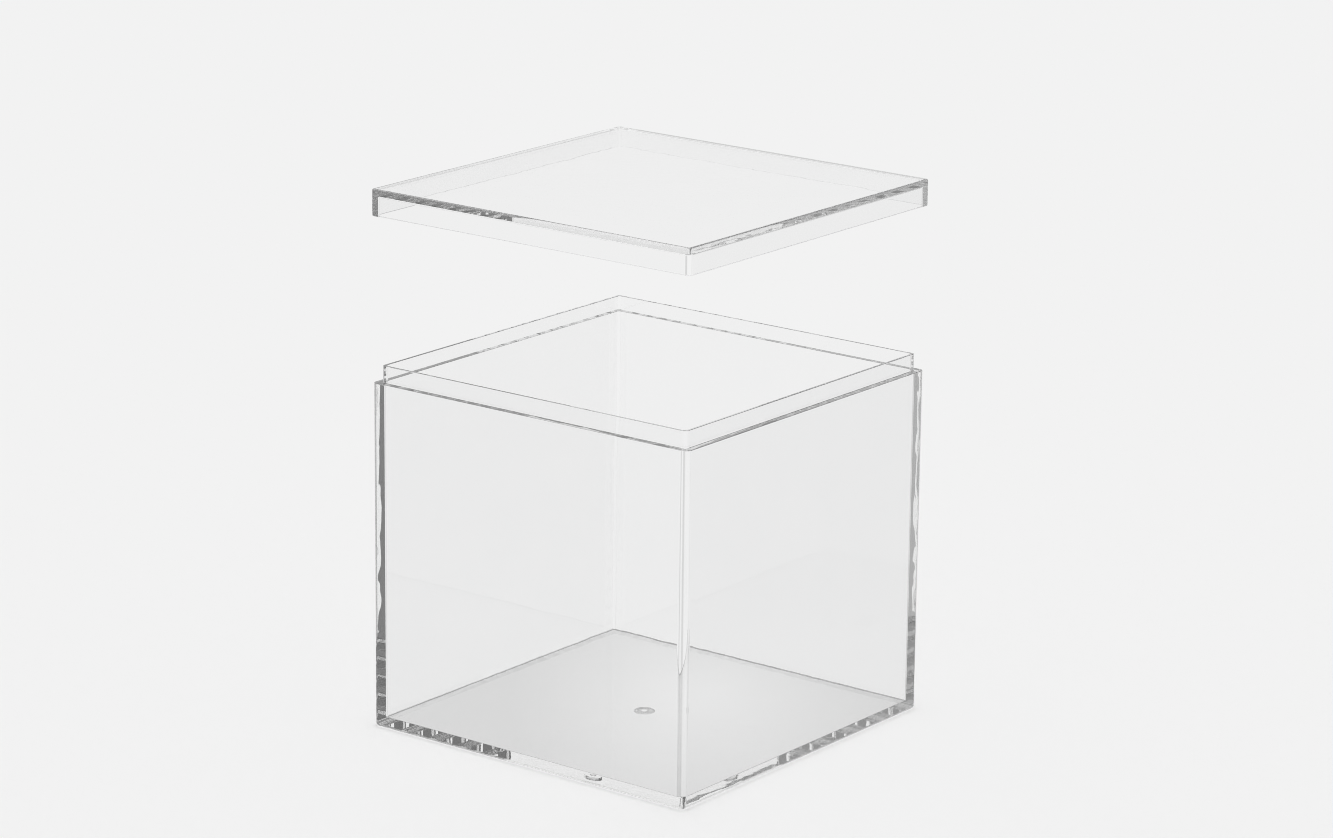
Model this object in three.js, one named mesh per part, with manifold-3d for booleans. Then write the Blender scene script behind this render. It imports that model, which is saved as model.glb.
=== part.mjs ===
// A clear display cube: a moulded square box with a thin stepped rim, and a shallow lid that slips
// over that rim and sits on the shoulder around it. Millimetres, +Z up. The origin is the centre of
// the box's underside. The lid is held straight above the box, lifted clear of the rim.

import * as THREE from 'three';
import { mergeVertices } from 'three/addons/utils/BufferGeometryUtils.js';
import Module from 'manifold-3d';

// ---------------------------------------------------------------- driving dimensions

const SIDE = 103; // outer side of the box and of the lid, both square in plan
const SHOULDER_HEIGHT = 94; // underside of the box to the shoulder that carries the lid
const WALL = 2.65; // the box's walls and its floor
const RIM_THICKNESS = 0.8; // the rim stands on the inner part of the walls
const RIM_HEIGHT = 4.5; // how far the rim stands above the shoulder

const LID_HEIGHT = 7.2; // top of the lid to the lower edge of its skirt
const LID_PLATE = 2.0; // thickness of the lid's flat top
const LID_SKIRT = 1.5; // thickness of the lid's skirt
const SEAT_GAP = 0.3; // between the closed lid's skirt and the shoulder
const LID_RAISED = 44; // how far above its closed place the lid is held

const BOX_CORNER = 1.5; // radius of the box's upright outer corners
const BOX_EDGE = 1.0; // rounding round the box's underside
const FLOOR_EDGE = 0.25; // rounding where the inner walls meet the floor
const LID_CORNER = 1.0; // radius of the lid's upright outer corners
const LID_EDGE = 0.6; // rounding round the lid's top
const LID_INNER_EDGE = 0.5; // rounding where the skirt meets the plate
const INNER_CORNER = 1.0; // radius of the upright inner corners of box and lid
const RIM_CORNER = 0.9; // radius of the rim's upright outer corners

// The moulding gate: a round dimple in the middle of the underside, with the gate's stub in it.
const GATE_DIAMETER = 5.5;
const GATE_DEPTH = 0.5;
const STUB_DIAMETER = 1.8;
const STUB_HEIGHT = 0.3;

const CORNER_STEPS = 8; // facets round each upright corner
const EDGE_STEPS = 4; // facets across each rounded edge
const ROUND_STEPS = 48; // facets round the gate
const SPARE = 10; // how far a cutting block runs past the material it cuts

// ---------------------------------------------------------------- solids

const manifold = await Module();
manifold.setup();

/** The closed solid of a three.js geometry, placed by its own vertices. */
function toSolid(geometry) {
  const bare = geometry.clone();
  bare.deleteAttribute('normal');
  bare.deleteAttribute('uv');
  const merged = mergeVertices(bare, 1e-4);
  const mesh = new manifold.Mesh({
    numProp: 3,
    vertProperties: new Float32Array(merged.attributes.position.array),
    triVerts: new Uint32Array(merged.index.array),
  });
  return new manifold.Manifold(mesh);
}

/** A three.js geometry of a solid, with flat faces. */
function toGeometry(solid) {
  const { vertProperties, triVerts } = solid.getMesh();
  const indexed = new THREE.BufferGeometry();
  indexed.setAttribute('position', new THREE.BufferAttribute(vertProperties, 3));
  indexed.setIndex(new THREE.BufferAttribute(triVerts, 1));
  const geometry = indexed.toNonIndexed();
  geometry.computeVertexNormals();
  return geometry;
}

/** A square outline with round corners, centred on the origin. */
function roundedSquare(side, radius) {
  const half = side / 2;
  const middle = half - radius;
  const quarter = Math.PI / 2;
  const shape = new THREE.Shape();
  shape.moveTo(middle, -half);
  shape.absarc(middle, -middle, radius, -quarter, 0);
  shape.absarc(middle, middle, radius, 0, quarter);
  shape.absarc(-middle, middle, radius, quarter, 2 * quarter);
  shape.absarc(-middle, -middle, radius, 2 * quarter, 3 * quarter);
  return shape;
}

/** A square block from z = bottom to z = top. Its lower and upper edges are rounded by edge. */
function block({ side, corner, bottom, top, edge = 0 }) {
  const geometry = new THREE.ExtrudeGeometry(roundedSquare(side, corner), {
    depth: top - bottom - 2 * edge,
    curveSegments: CORNER_STEPS,
    bevelEnabled: edge > 0,
    bevelThickness: edge,
    bevelSize: edge,
    bevelOffset: -edge,
    bevelSegments: EDGE_STEPS,
  });
  geometry.translate(0, 0, bottom + edge);
  return toSolid(geometry);
}

/** An upright disc from z = bottom to z = top. */
function disc(diameter, bottom, top) {
  const radius = diameter / 2;
  const geometry = new THREE.CylinderGeometry(radius, radius, top - bottom, ROUND_STEPS);
  geometry.rotateX(Math.PI / 2);
  geometry.translate(0, 0, (top + bottom) / 2);
  return toSolid(geometry);
}

// ---------------------------------------------------------------- the box

/** Floor, four walls and rim in one moulding. */
function boxBody() {
  const rimTop = SHOULDER_HEIGHT + RIM_HEIGHT;
  const insideSide = SIDE - 2 * WALL;
  const rimSide = insideSide + 2 * RIM_THICKNESS;
  const walls = block({
    side: SIDE,
    corner: BOX_CORNER,
    bottom: 0,
    top: SHOULDER_HEIGHT + SPARE,
    edge: BOX_EDGE,
  });
  const aboveShoulder = block({
    side: SIDE + SPARE,
    corner: BOX_CORNER,
    bottom: SHOULDER_HEIGHT,
    top: SHOULDER_HEIGHT + 2 * SPARE,
  });
  const rim = block({
    side: rimSide,
    corner: RIM_CORNER,
    bottom: SHOULDER_HEIGHT - WALL,
    top: rimTop,
  });
  const inside = block({
    side: insideSide,
    corner: INNER_CORNER,
    bottom: WALL,
    top: rimTop + SPARE,
    edge: FLOOR_EDGE,
  });
  const gate = disc(GATE_DIAMETER, -SPARE, GATE_DEPTH);
  const stub = disc(STUB_DIAMETER, GATE_DEPTH - STUB_HEIGHT, GATE_DEPTH + WALL / 2);
  return walls.subtract(aboveShoulder).add(rim).subtract(inside).subtract(gate).add(stub);
}

// ---------------------------------------------------------------- the lid

/** Flat top and four-sided skirt in one moulding, with the skirt's lower edge at z = 0. */
function lid() {
  const outside = block({
    side: SIDE,
    corner: LID_CORNER,
    bottom: -SPARE,
    top: LID_HEIGHT,
    edge: LID_EDGE,
  });
  const belowSkirt = block({
    side: SIDE + SPARE,
    corner: LID_CORNER,
    bottom: -2 * SPARE,
    top: 0,
  });
  const recess = block({
    side: SIDE - 2 * LID_SKIRT,
    corner: INNER_CORNER,
    bottom: -SPARE,
    top: LID_HEIGHT - LID_PLATE,
    edge: LID_INNER_EDGE,
  });
  return outside.subtract(belowSkirt).subtract(recess);
}

// ---------------------------------------------------------------- assembly

/** Clear, colourless, polished plastic. */
function clearPlastic() {
  return new THREE.MeshStandardMaterial({
    color: 0xeef1f2,
    roughness: 0.06,
    metalness: 0,
    transparent: true,
    opacity: 0.3,
  });
}

function piece(name, solid) {
  const mesh = new THREE.Mesh(toGeometry(solid), clearPlastic());
  mesh.name = name;
  return mesh;
}

const displayCube = new THREE.Group();
displayCube.add(piece('box_body', boxBody()));

const lidMesh = piece('lid', lid());
lidMesh.position.z = SHOULDER_HEIGHT + SEAT_GAP + LID_RAISED;
displayCube.add(lidMesh);

export default displayCube;
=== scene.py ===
import math

import bmesh
import bpy
from mathutils import Matrix, Vector


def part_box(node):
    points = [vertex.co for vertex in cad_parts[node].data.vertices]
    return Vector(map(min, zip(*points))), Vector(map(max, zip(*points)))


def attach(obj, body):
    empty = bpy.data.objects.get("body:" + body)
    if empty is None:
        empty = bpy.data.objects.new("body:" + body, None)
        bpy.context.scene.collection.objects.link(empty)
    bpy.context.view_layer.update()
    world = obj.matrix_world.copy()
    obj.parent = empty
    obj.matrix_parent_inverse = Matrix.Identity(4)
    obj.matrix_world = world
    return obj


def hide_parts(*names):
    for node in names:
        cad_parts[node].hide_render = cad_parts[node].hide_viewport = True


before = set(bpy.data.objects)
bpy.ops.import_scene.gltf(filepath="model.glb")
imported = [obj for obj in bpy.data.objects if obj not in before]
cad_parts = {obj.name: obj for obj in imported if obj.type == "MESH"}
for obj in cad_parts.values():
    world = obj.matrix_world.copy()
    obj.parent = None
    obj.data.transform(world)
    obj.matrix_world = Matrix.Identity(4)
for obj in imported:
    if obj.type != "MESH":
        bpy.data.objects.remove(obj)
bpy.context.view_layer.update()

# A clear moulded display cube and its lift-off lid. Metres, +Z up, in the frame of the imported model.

# ------------------------------------------------------------------ dimensions

MM = 0.001

body_low, body_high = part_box("box_body")
lid_low, lid_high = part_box("lid")

HALF = (body_high.x - body_low.x) / 2      # half the outer side of box and lid
RIM_TOP = body_high.z
RIM_HEIGHT = 4.5 * MM
SHOULDER = RIM_TOP - RIM_HEIGHT            # the ledge round the mouth that carries the lid
WALL = 2.65 * MM                           # walls and floor
RIM_THICKNESS = 0.8 * MM

LID_PLATE = 2.0 * MM
LID_SKIRT = 1.5 * MM

BOX_CORNER = 1.5 * MM                      # upright outer corners
LID_CORNER = 1.0 * MM
INNER_CORNER = 1.0 * MM                    # upright inner corners
RIM_CORNER = 0.9 * MM
BOX_EDGE = 1.0 * MM                        # round the box's underside
LID_EDGE = 0.6 * MM                        # round the lid's top
LID_INNER_EDGE = 0.5 * MM                  # where the skirt meets the plate
FLOOR_EDGE = 0.25 * MM                     # where the inner walls meet the floor
FINE_EDGE = 0.15 * MM                      # the crisp edges of shoulder and rim
SKIRT_EDGE = 0.28 * MM                     # the two lower edges of the lid's skirt
GATE_EDGE = 0.1 * MM                       # the edges of the gate's dimple and stub

GATE_RADIUS = 2.75 * MM                    # the moulding gate's dimple in the underside
GATE_DEPTH = 0.5 * MM
STUB_RADIUS = 0.9 * MM
STUB_HEIGHT = 0.3 * MM

CORNER_STEPS = 14                          # facets round each upright corner
EDGE_STEPS = 10                            # facets across each rounded edge
CAP_RADIUS = 2.75 * MM                     # the circle that a level face narrows to round the axis

# ------------------------------------------------------------------ lofted solids
#
# Both mouldings are lofts of square rings with round corners. A station of the loft is
# (half, core, z, out, up): half is half the ring's side, core is how far its corner centres stand
# from the axis, and (out, up) is the surface's normal in the section. A core of 0 is a circle.


def ring_points(half, core):
    """Points round a ring, each as (x, y, outward x, outward y)."""
    count = CORNER_STEPS + 1
    radius = half - core
    points = []
    for corner in range(4):
        first = math.pi / 2 * (corner - 1)
        centre_x = core if corner in (0, 1) else -core
        centre_y = core if corner in (1, 2) else -core
        for step in range(count):
            # A circle's points are spread evenly. A square's corners begin and end on its sides.
            share = step / CORNER_STEPS if core else (step + 0.5) / count
            angle = first + math.pi / 2 * share
            out_x, out_y = math.cos(angle), math.sin(angle)
            points.append((centre_x + radius * out_x, centre_y + radius * out_y, out_x, out_y))
    return points


def flat(half, core, z, up):
    """One station on a level face."""
    return [(half, core, z, 0.0, up)]


def rounding(core, centre, radius, start, end, hollow=False):
    """Stations along a rounded edge. The centre is (half, z) and the angles are in degrees.

    A hollow edge is a fillet, whose surface faces its centre.
    """
    sign = -1.0 if hollow else 1.0
    stations = []
    for step in range(EDGE_STEPS + 1):
        angle = math.radians(start + (end - start) * step / EDGE_STEPS)
        out, up = math.cos(angle), math.sin(angle)
        place = (centre[0] + radius * out, core, centre[1] + radius * up)
        stations.append((*place, sign * out, sign * up))
    return stations


def loft(name, stations):
    """A closed mesh through the stations, capped at the axis at both ends, with exact normals."""
    bm = bmesh.new()
    rings = []
    normals = []
    for half, core, z, out, up in stations:
        ring = []
        for x, y, out_x, out_y in ring_points(half, core):
            ring.append(bm.verts.new((x, y, z)))
            normals.append((out_x * out, out_y * out, up))
        rings.append(ring)
    count = len(rings[0])
    for below, above in zip(rings, rings[1:]):
        for i in range(count):
            j = (i + 1) % count
            bm.faces.new((below[i], below[j], above[j], above[i]))
    for end, turn in ((0, 1), (-1, -1)):
        ring = rings[end]
        _, _, z, _, up = stations[end]
        tip = bm.verts.new((0, 0, z))
        normals.append((0, 0, up))
        for i in range(count):
            bm.faces.new((tip, ring[(i + turn) % count], ring[i]))
    bmesh.ops.recalc_face_normals(bm, faces=bm.faces)
    for face in bm.faces:
        face.smooth = True
    mesh = bpy.data.meshes.new(name)
    bm.to_mesh(mesh)
    bm.free()
    mesh.normals_split_custom_set_from_vertices([Vector(n).normalized() for n in normals])
    piece = bpy.data.objects.new(name, mesh)
    bpy.context.scene.collection.objects.link(piece)
    return piece


def gate_stations():
    """The round dimple in the underside, with the gate's stub in it, from the axis outwards."""
    fine = GATE_EDGE
    stub_end = GATE_DEPTH - STUB_HEIGHT
    return [
        *flat(STUB_RADIUS / 2, 0, stub_end, -1),
        *rounding(0, (STUB_RADIUS - fine, stub_end + fine), fine, -90, 0),
        *rounding(0, (STUB_RADIUS + fine, GATE_DEPTH - fine), fine, 180, 90, hollow=True),
        *rounding(0, (GATE_RADIUS - fine, GATE_DEPTH - fine), fine, 90, 0, hollow=True),
        *rounding(0, (GATE_RADIUS + fine, fine), fine, 180, 270),
    ]


def make_body():
    """Floor, four walls and stepped rim: up the outside, over the rim and down the inside."""
    outer_core = HALF - BOX_CORNER
    inside = HALF - WALL
    inner_core = inside - INNER_CORNER
    rim = inside + RIM_THICKNESS
    rim_core = rim - RIM_CORNER
    fine = FINE_EDGE
    floor_edge = (inside - FLOOR_EDGE, WALL + FLOOR_EDGE)
    stations = [
        *gate_stations(),
        *rounding(outer_core, (HALF - BOX_EDGE, BOX_EDGE), BOX_EDGE, -90, 0),
        *rounding(outer_core, (HALF - fine, SHOULDER - fine), fine, 0, 90),
        *rounding(rim_core, (rim + fine, SHOULDER + fine), fine, -90, -180, hollow=True),
        *rounding(rim_core, (rim - fine, RIM_TOP - fine), fine, 0, 90),
        *rounding(inner_core, (inside + fine, RIM_TOP - fine), fine, 90, 180),
        *rounding(inner_core, floor_edge, FLOOR_EDGE, 0, -90, hollow=True),
        *flat(CAP_RADIUS, 0, WALL, 1),
    ]
    return loft("clear_box", stations)


def make_lid():
    """Flat plate and skirt: over the top, down the outside and up the inside."""
    top = lid_high.z
    bottom = lid_low.z
    under = top - LID_PLATE
    outer_core = HALF - LID_CORNER
    inside = HALF - LID_SKIRT
    inner_core = inside - INNER_CORNER
    fine = SKIRT_EDGE
    inner_edge = (inside - LID_INNER_EDGE, under - LID_INNER_EDGE)
    stations = [
        *flat(CAP_RADIUS, 0, top, 1),
        *rounding(outer_core, (HALF - LID_EDGE, top - LID_EDGE), LID_EDGE, 90, 0),
        *rounding(outer_core, (HALF - fine, bottom + fine), fine, 0, -90),
        *rounding(inner_core, (inside + fine, bottom + fine), fine, -90, -180),
        *rounding(inner_core, inner_edge, LID_INNER_EDGE, 0, 90, hollow=True),
        *flat(CAP_RADIUS, 0, under, -1),
    ]
    return loft("clear_lid", stations)


# ------------------------------------------------------------------ materials


class Nodes:
    """Short names for building a node tree."""

    def __init__(self, tree):
        self.tree = tree
        tree.nodes.clear()

    def add(self, kind, inputs=None, **settings):
        node = self.tree.nodes.new(kind)
        for name, value in settings.items():
            setattr(node, name, value)
        for name, value in (inputs or {}).items():
            self.feed(node.inputs[name], value)
        return node

    def feed(self, socket, value):
        if isinstance(value, bpy.types.NodeSocket):
            self.tree.links.new(value, socket)
        else:
            socket.default_value = value

    def math(self, operation, first, second=0.0):
        node = self.add("ShaderNodeMath", operation=operation)
        self.feed(node.inputs[0], first)
        self.feed(node.inputs[1], second)
        return node.outputs[0]

    def noise(self, vector, scale, detail=2.0, roughness=0.5):
        values = {"Vector": vector, "Scale": scale, "Detail": detail, "Roughness": roughness}
        return self.add("ShaderNodeTexNoise", values).outputs["Fac"]

    def remap(self, value, low, high, to_low=0.0, to_high=1.0):
        values = {"Value": value, "From Min": low, "From Max": high, "To Min": to_low, "To Max": to_high}
        return self.add("ShaderNodeMapRange", values).outputs["Result"]

    def length(self, vector):
        return self.add("ShaderNodeVectorMath", {0: vector}, operation="LENGTH").outputs["Value"]

    def mix(self, factor, first, second):
        node = self.add("ShaderNodeMix", {"Factor": factor}, data_type="FLOAT")
        self.feed(node.inputs["A"], first)
        self.feed(node.inputs["B"], second)
        return node.outputs[0]

    def mix_colour(self, factor, first, second):
        node = self.add("ShaderNodeMix", {"Factor": factor}, data_type="RGBA")
        # A Mix node's sockets share their names, so its colour sockets go by number.
        self.feed(node.inputs[6], first)
        self.feed(node.inputs[7], second)
        return node.outputs[2]

    def bump(self, height, distance, normal=None):
        values = {"Height": height, "Distance": distance, "Strength": 1.0}
        if normal is not None:
            values["Normal"] = normal
        return self.add("ShaderNodeBump", values).outputs["Normal"]


IOR = 1.49
ABSORPTION = 0.8                                    # per metre of plastic

# Noise scales are per metre. A bump's height is what the noise would stand out by.
WAVE_SCALE, WAVE_HEIGHT = 45.0, 0.035 * MM          # slow waves, where the plastic flowed
RIPPLE_SCALE, RIPPLE_HEIGHT = 150.0, 0.01 * MM
SKIN_SCALE, SKIN_HEIGHT = 900.0, 0.0001 * MM

HAZE_SCALE = 70.0
HAZE_NOISE = (0.45, 0.8)                            # from no haze to full haze
HAZE_ROUGHNESS = 0.006
TINT_NOISE = (0.35, 0.75)                           # from clear to tinted
CLEAR = (1.0, 1.0, 1.0, 1.0)
TINTED = (0.992, 0.994, 0.995, 1.0)

# Painted shade in the gate's dimple, standing in for the light that the rough torn plastic scatters
# away, mottled like the tear.
GATE_PAINTED_SHADE = (0.04, 0.04, 0.04, 1.0)
TORN_SCALE = 2500.0
TORN_NOISE = (0.4, 0.55)                            # from lightly to fully shaded
TORN_LEAST = 0.1

LID_SHIFT = (0.37, 0.21, 0.5)                       # gives the lid waves and haze of its own


def paint_gate_shade(nodes, place, colour):
    """Paints shade on the torn plastic between the gate's stub and the edge of its dimple, standing in
    for the light that its rough surface scatters away.
    """
    x, y, z = nodes.add("ShaderNodeSeparateXYZ", {"Vector": place}).outputs
    flat_place = nodes.add("ShaderNodeCombineXYZ", {"X": x, "Y": y}).outputs["Vector"]
    reach = nodes.length(flat_place)
    torn = nodes.noise(flat_place, TORN_SCALE, detail=3.0, roughness=0.7)
    within = nodes.remap(reach, GATE_RADIUS - FINE_EDGE, GATE_RADIUS + FINE_EDGE, 1.0, 0.0)
    beyond = nodes.remap(reach, STUB_RADIUS, STUB_RADIUS + FINE_EDGE)
    low = nodes.math("LESS_THAN", z, WALL / 2)
    amount = nodes.math("MULTIPLY", nodes.math("MULTIPLY", within, beyond), low)
    amount = nodes.math("MULTIPLY", amount, nodes.remap(torn, *TORN_NOISE, TORN_LEAST, 1.0))
    return nodes.mix_colour(amount, colour, GATE_PAINTED_SHADE)


def clear_plastic(name, shift=(0.0, 0.0, 0.0), gate=False):
    """Moulded clear plastic: flow waves, ripples, a fine skin texture and a little haze, and with gate,
    painted shade in the gate's dimple.
    """
    material = bpy.data.materials.new(name)
    material.use_nodes = True
    nodes = Nodes(material.node_tree)
    own_place = nodes.add("ShaderNodeTexCoord").outputs["Object"]
    place = nodes.add("ShaderNodeMapping", {"Vector": own_place, "Location": shift}).outputs["Vector"]

    waves = nodes.noise(place, WAVE_SCALE, detail=1.0)
    ripples = nodes.noise(place, RIPPLE_SCALE, detail=1.0)
    skin = nodes.noise(place, SKIN_SCALE, detail=2.0)
    normal = nodes.bump(waves, WAVE_HEIGHT)
    normal = nodes.bump(ripples, RIPPLE_HEIGHT, normal)
    normal = nodes.bump(skin, SKIN_HEIGHT, normal)

    haze = nodes.noise(place, HAZE_SCALE, detail=4.0, roughness=0.6)
    roughness = nodes.remap(haze, *HAZE_NOISE, 0.0, HAZE_ROUGHNESS)
    tint = nodes.add("ShaderNodeValToRGB", {"Fac": haze})
    for stop, position, shade in zip(tint.color_ramp.elements, TINT_NOISE, (CLEAR, TINTED)):
        stop.position = position
        stop.color = shade

    colour = tint.outputs["Color"]
    # Painted shade in the gate's dimple.
    if gate:
        colour = paint_gate_shade(nodes, own_place, colour)

    shader = nodes.add("ShaderNodeBsdfPrincipled", {
        "Base Color": colour,
        "Roughness": roughness,
        "IOR": IOR,
        "Transmission Weight": 1.0,
        "Normal": normal,
    })
    absorbed = {"Color": (0.0, 0.0, 0.0, 1.0), "Density": ABSORPTION}
    volume = nodes.add("ShaderNodeVolumeAbsorption", absorbed)
    output = nodes.add("ShaderNodeOutputMaterial")
    nodes.feed(output.inputs["Surface"], shader.outputs["BSDF"])
    nodes.feed(output.inputs["Volume"], volume.outputs["Volume"])
    return material


# ------------------------------------------------------------------ stage, light and camera

FLOOR_DROP = 0.2 * MM           # the film of air under the box
FLOOR_HALF = 4.0
FLOOR_SHADE = (0.89, 0.89, 0.89, 1.0)

# Painted light and shadow on a see-through sheet under the box, which only the plastic shows: its
# brightness in the painted pool's centre, at the pool's edge and in the painted shadow under the outer
# part of the walls. Towards the back the pool is twice as long as it is wide.
POOL_CENTRE = (2.8 * MM, 21.0 * MM, 0.0)
POOL_SHAPE = (1.0, 2.0, 1.0)
POOL_LIGHT = 0.95
POOL_EDGE_LIGHT = 0.715
UNDER_WALL = 1.6 * MM
UNDER_WALL_LIGHT = 0.3

# The surround's brightness by height alone, from below upwards. A height is the sine of a
# direction's angle above the horizon, and each pair of heights is where one light turns into the next.
FLOOR_LIGHT = 0.889
HORIZON = (-0.02, 0.02)
HORIZON_LIGHT = 0.9
BACKDROP_FOOT = (0.08, 0.18)
BACKDROP_FOOT_LIGHT = 0.82
BACKDROP_MIDDLE = (0.2, 0.3)
BACKDROP_LIGHT = 0.86
BACKDROP_TOP = (0.3, 0.55)
OVERHEAD_LIGHT = 1.14
SOFT_LIGHT = 0.998              # all round, for lighting the matt floor

# Two dark cards, opposite each other, that only reflected light shows. Each has a light low down,
# one higher up, and one where light didn't come along inside a wall.
CARD_X, CARD_Y = 0.609, 0.794   # the level direction from the box to the right-hand card
CARD_EDGE = (0.88, 0.93)        # the cosine of the angle from a card's middle, across its soft edge
CARD_MIDDLE = (-0.1, 0.1)       # heights over which the low light turns into the higher one
CARD_TOP = (0.97, 0.99)         # steepness, up or down, at which the cards end
RIGHT_CARD = (0.19, 0.14, 0.52)
LEFT_CARD = (0.44, 0.26, 0.63)
CARD_WIDENING = (0.28, 0.36)    # heights over which the cards widen
CARD_SPREAD = 0.4
GUIDED_REFLECTIONS = 5.5        # light reflected more often than this came along inside a wall

# Grey strips beyond the box, seen straight through it, that draw lines in its rounded edges. Each
# is a range of the cosine of the angle from the right-hand card's middle.
STRIPS = ((0.545, 0.669), (-0.454, -0.052))
STRIP_BLUR = 0.03
STRIP_LIGHT = 0.66
STRIP_HEIGHT = 0.5

ANY = 0.5                       # a count of reflections above this is one or more
NEARLY_UPRIGHT = 0.01           # keeps a division finite straight up and straight down


def make_floor(name, half):
    """A level square of floor, and the empty node tree of its material."""
    bm = bmesh.new()
    corners = [(-1, -1), (1, -1), (1, 1), (-1, 1)]
    bm.faces.new([bm.verts.new((half * x, half * y, -FLOOR_DROP)) for x, y in corners])
    mesh = bpy.data.meshes.new(name)
    bm.to_mesh(mesh)
    bm.free()
    floor = bpy.data.objects.new(name, mesh)
    bpy.context.scene.collection.objects.link(floor)
    material = bpy.data.materials.new(name)
    material.use_nodes = True
    mesh.materials.append(material)
    return floor, Nodes(material.node_tree)


def make_studio_floor():
    """The plain pale floor that fills the view. The plastic shows the surround in its place."""
    floor, nodes = make_floor("studio_floor", FLOOR_HALF)
    shader = nodes.add("ShaderNodeBsdfDiffuse", {"Color": FLOOR_SHADE})
    output = nodes.add("ShaderNodeOutputMaterial")
    nodes.feed(output.inputs["Surface"], shader.outputs["BSDF"])
    floor.visible_glossy = False
    floor.visible_transmission = False


def make_painted_light_under_box():
    """A see-through sheet that only the plastic shows, with painted light and shade: a soft painted pool
    of light, and a painted shadow under the walls.
    """
    floor, nodes = make_floor("painted_light_under_box", HALF)
    place = nodes.add("ShaderNodeTexCoord").outputs["Object"]
    x, y, _ = nodes.add("ShaderNodeSeparateXYZ", {"Vector": place}).outputs
    turn = (0.0, 0.0, math.radians(CAMERA_AZIMUTH))
    values = {"Vector": place, "Location": POOL_CENTRE, "Rotation": turn, "Scale": POOL_SHAPE}
    oval = nodes.add("ShaderNodeMapping", values, vector_type="TEXTURE").outputs["Vector"]
    pool = nodes.remap(nodes.length(oval), 0.0, HALF, POOL_LIGHT, POOL_EDGE_LIGHT)
    outward = nodes.math("MAXIMUM", nodes.math("ABSOLUTE", x), nodes.math("ABSOLUTE", y))
    walls = nodes.math("GREATER_THAN", outward, HALF - UNDER_WALL)
    # Painted shadow under the walls over the painted pool of light; this tint is painted light, not a
    # colour of the floor.
    tint = nodes.mix(walls, pool, UNDER_WALL_LIGHT)
    painted_light_colour = nodes.add("ShaderNodeCombineColor", {"Red": tint, "Green": tint, "Blue": tint})
    shader = nodes.add("ShaderNodeBsdfTransparent", {"Color": painted_light_colour.outputs["Color"]})
    output = nodes.add("ShaderNodeOutputMaterial")
    nodes.feed(output.inputs["Surface"], shader.outputs["BSDF"])
    floor.visible_camera = False
    floor.visible_diffuse = False
    floor.visible_glossy = False
    floor.visible_shadow = False


def plain_light(nodes, z):
    """The surround's brightness by height alone."""
    foot = nodes.remap(z, *BACKDROP_FOOT, HORIZON_LIGHT, BACKDROP_FOOT_LIGHT)
    top = nodes.remap(z, *BACKDROP_TOP, BACKDROP_LIGHT, OVERHEAD_LIGHT)
    above = nodes.mix(nodes.remap(z, *BACKDROP_MIDDLE), foot, top)
    return nodes.mix(nodes.remap(z, *HORIZON), FLOOR_LIGHT, above)


def with_card(nodes, light, z, facing, guided, card):
    """A light with one card in it. Facing is the cosine of the angle from the card's middle."""
    low, high, unguided = card
    steep = nodes.remap(nodes.math("ABSOLUTE", z), *CARD_TOP, 1.0, 0.0)
    share = nodes.math("MULTIPLY", nodes.remap(facing, *CARD_EDGE), steep)
    shade = nodes.mix(guided, unguided, nodes.remap(z, *CARD_MIDDLE, low, high))
    return nodes.mix(share, light, shade)


def with_strips(nodes, light, toward, beyond):
    """A light with the strips in it. Beyond is 1 where strips may stand, and 0 elsewhere."""
    for start, end in STRIPS:
        rise = nodes.remap(toward, start - STRIP_BLUR, start + STRIP_BLUR)
        fall = nodes.remap(toward, end - STRIP_BLUR, end + STRIP_BLUR, 1.0, 0.0)
        share = nodes.math("MULTIPLY", nodes.math("MULTIPLY", rise, fall), beyond)
        light = nodes.mix(share, light, STRIP_LIGHT)
    return light


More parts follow.
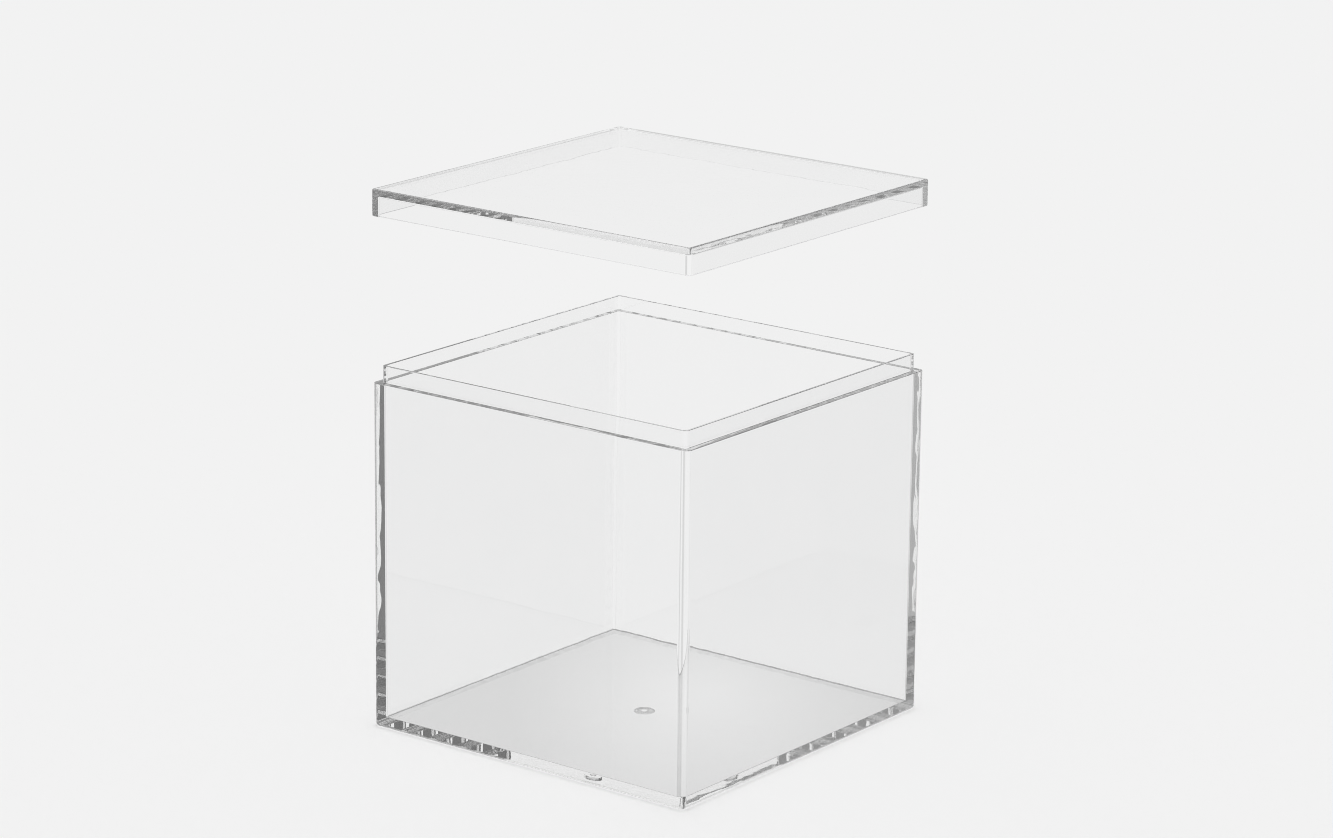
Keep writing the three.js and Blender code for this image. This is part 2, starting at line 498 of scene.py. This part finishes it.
def make_world():
    """An even pale studio, with dark cards for reflections and strips for straight views."""
    world = bpy.data.worlds.new("studio")
    bpy.context.scene.world = world
    world.use_nodes = True
    world.cycles.sampling_method = "NONE"
    nodes = Nodes(world.node_tree)
    direction = nodes.add("ShaderNodeTexCoord").outputs["Generated"]
    x, y, z = nodes.add("ShaderNodeSeparateXYZ", {"Vector": direction}).outputs
    level = nodes.math("SQRT", nodes.math("SUBTRACT", 1.0, nodes.math("MULTIPLY", z, z)))
    toward = nodes.math("ADD", nodes.math("MULTIPLY", x, CARD_X), nodes.math("MULTIPLY", y, CARD_Y))
    toward = nodes.math("DIVIDE", toward, nodes.math("MAXIMUM", level, NEARLY_UPRIGHT))
    across = nodes.math("SUBTRACT", nodes.math("MULTIPLY", y, CARD_X), nodes.math("MULTIPLY", x, CARD_Y))

    path = nodes.add("ShaderNodeLightPath").outputs
    reflected = nodes.math("GREATER_THAN", path["Glossy Depth"], ANY)
    guided = nodes.math("GREATER_THAN", path["Glossy Depth"], GUIDED_REFLECTIONS)
    from_floor = nodes.math("GREATER_THAN", path["Diffuse Depth"], ANY)

    plain = plain_light(nodes, z)
    low = nodes.math("LESS_THAN", nodes.math("ABSOLUTE", z), STRIP_HEIGHT)
    beyond = nodes.math("MULTIPLY", nodes.math("GREATER_THAN", across, 0.0), low)
    seen_through = with_strips(nodes, plain, toward, beyond)

    spread = nodes.remap(z, *CARD_WIDENING, 0.0, CARD_SPREAD)
    rightward = nodes.math("ADD", spread, toward)
    leftward = nodes.math("SUBTRACT", spread, toward)
    in_reflections = with_card(nodes, plain, z, rightward, guided, RIGHT_CARD)
    in_reflections = with_card(nodes, in_reflections, z, leftward, guided, LEFT_CARD)

    light = nodes.mix(reflected, seen_through, in_reflections)
    light = nodes.mix(from_floor, light, SOFT_LIGHT)
    shader = nodes.add("ShaderNodeBackground", {"Color": (1.0, 1.0, 1.0, 1.0), "Strength": light})
    output = nodes.add("ShaderNodeOutputWorld")
    nodes.feed(output.inputs["Surface"], shader.outputs["Background"])


CAMERA_AZIMUTH = 37.48          # degrees, round the box from its -Y side towards +X
CAMERA_ELEVATION = 15.46
CAMERA_ROLL = 0.63
CAMERA_LENS = 124.92            # the lens and the sensor are in millimetres
CAMERA_SENSOR = 36.0
CAMERA_FAR = 50.0
CAMERA_DISTANCE = 11.85         # this and the next three are in box widths
CAMERA_RIGHT = 0.0457
CAMERA_UP = 0.308
AIM_HEIGHT = 0.48

MOST_BOUNCES = 64               # light is reflected many times on its way along inside a wall
DIFFUSE_BOUNCES = 4
PIXEL_FILTER = 1.0


def make_camera():
    """A long lens that looks a little down at both pieces, from in front and to the right."""
    width = 2 * HALF
    azimuth = math.radians(CAMERA_AZIMUTH)
    elevation = math.radians(CAMERA_ELEVATION)
    roll = math.radians(CAMERA_ROLL)
    back = Vector((
        math.sin(azimuth) * math.cos(elevation),
        -math.cos(azimuth) * math.cos(elevation),
        math.sin(elevation),
    ))
    level_right = Vector((math.cos(azimuth), math.sin(azimuth), 0.0))
    level_up = back.cross(level_right)
    right = math.cos(roll) * level_right + math.sin(roll) * level_up
    up = math.cos(roll) * level_up - math.sin(roll) * level_right
    data = bpy.data.cameras.new("camera")
    data.lens = CAMERA_LENS
    data.sensor_width = CAMERA_SENSOR
    data.clip_end = CAMERA_FAR
    camera = bpy.data.objects.new("camera", data)
    bpy.context.scene.collection.objects.link(camera)
    aim = Vector((0.0, 0.0, AIM_HEIGHT * width))
    camera.location = aim + width * (CAMERA_RIGHT * right + CAMERA_UP * up + CAMERA_DISTANCE * back)
    camera.rotation_mode = "QUATERNION"
    camera.rotation_quaternion = Matrix((right, up, back)).transposed().to_quaternion()
    bpy.context.scene.camera = camera


def set_light_paths():
    """Plain tones, and enough bounces for light to come through the plastic's edges."""
    scene = bpy.context.scene
    scene.view_settings.view_transform = "Standard"
    scene.cycles.max_bounces = MOST_BOUNCES
    scene.cycles.diffuse_bounces = DIFFUSE_BOUNCES
    scene.cycles.glossy_bounces = MOST_BOUNCES
    scene.cycles.transmission_bounces = MOST_BOUNCES
    scene.cycles.blur_glossy = 0.0
    scene.cycles.filter_width = PIXEL_FILTER


# ------------------------------------------------------------------ the scene

set_light_paths()
make_camera()
make_world()
make_studio_floor()
make_painted_light_under_box()

body = make_body()
body.data.materials.append(clear_plastic("box_clear_plastic", gate=True))
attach(body, "box")
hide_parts("box_body")

lid = make_lid()
lid.data.materials.append(clear_plastic("lid_clear_plastic", LID_SHIFT))
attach(lid, "lid")
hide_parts("lid")
